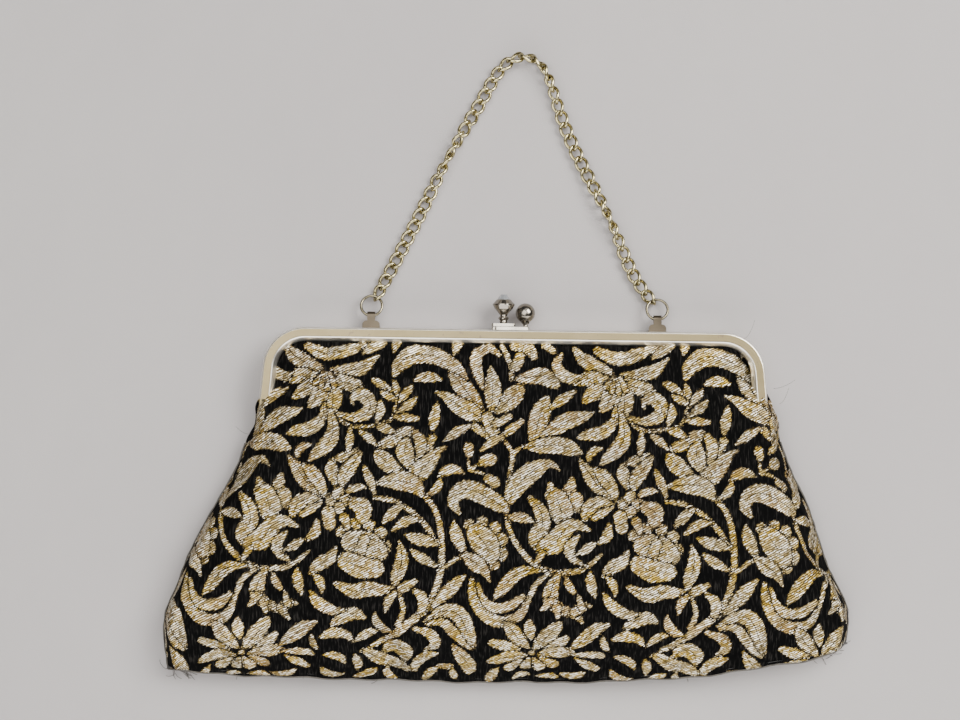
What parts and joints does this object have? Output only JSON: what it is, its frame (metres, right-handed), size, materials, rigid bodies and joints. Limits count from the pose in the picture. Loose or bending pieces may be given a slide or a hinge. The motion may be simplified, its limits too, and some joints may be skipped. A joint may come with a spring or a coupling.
{
  "type": "clutch purse",
  "caption": "Frame clutch purse with a brocade pouch, a hinged metal frame, a kiss-lock clasp and a chain handle, lying closed on its back.",
  "frame": {"origin": "on the flat back of the pouch, in the middle of its width and halfway up it, which is the surface it lies on", "axes": "+X along the frame's bar, +Y from the base of the pouch towards the clasp and handle, +Z out of the front panel"},
  "size_m": [0.273, 0.2514, 0.0185],
  "materials": {
    "frame_metal": "satin champagne nickel with a polished bead",
    "clasp_nickel": "polished nickel",
    "rivet_metal": "satin",
    "tab_metal": "worn nickel",
    "chain_metal": "pale gold wash",
    "crystal": "faceted",
    "brocade": "black brocade with silver and gold lurex flowers",
    "lining": "black satin",
    "buckram": "stiffened cotton",
    "board": "grey board",
    "paper_cord": "twisted kraft paper"
  },
  "bodies": {
    "pouch_and_back_frame": {"back_frame": "frame_metal", "hinge_pin_left": "rivet_metal", "hinge_pin_right": "rivet_metal", "finial_plate": "clasp_nickel", "clasp_rivets_back": "rivet_metal", "chain_tab_left": "tab_metal", "chain_tab_right": "tab_metal", "tab_rivets": "rivet_metal", "back_panel": "brocade", "back_interlining": "buckram", "back_lining": "lining", "base_board": "board", "front_panel_lower": "brocade", "front_interlining": "buckram", "front_lining_lower": "lining", "filler_cord_back": "paper_cord"},
    "front_frame_half": {"front_frame": "frame_metal", "ball_plate": "clasp_nickel", "clasp_rivets_front": "rivet_metal", "front_panel_upper": "brocade", "front_lining_upper": "lining", "filler_cord_front": "paper_cord"},
    "finial": {"finial_knob": "clasp_nickel", "finial_crystal": "crystal"},
    "ball": {"ball_knob": "clasp_nickel"},
    "handle": {"handle_chain": "chain_metal", "ring_left": "chain_metal", "ring_right": "chain_metal"}
  },
  "joints": [
    {"name": "frame_hinge", "type": "hinge", "parent": "pouch_and_back_frame", "child": "front_frame_half", "pos_m": [0, 0.0365, 0.00665], "axis": [1, 0, 0], "range_deg": [0, 75]},
    {"name": "handle_swing", "type": "hinge", "parent": "pouch_and_back_frame", "child": "handle", "pos_m": [0, 0.0747, 0.00495], "axis": [1, 0, 0], "range_deg": [-60, 95]},
    {"name": "finial_flex", "type": "hinge", "parent": "pouch_and_back_frame", "child": "finial", "pos_m": [-0.0044, 0.07275, 0.00825], "axis": [0, 0, 1], "range_deg": [0, 5], "stiffness_Nm_per_rad": 0.2},
    {"name": "ball_flex", "type": "hinge", "parent": "front_frame_half", "child": "ball", "pos_m": [0.0044, 0.07115, 0.00865], "axis": [0, 0, -1], "range_deg": [0, 5], "stiffness_Nm_per_rad": 0.2}
  ]
}
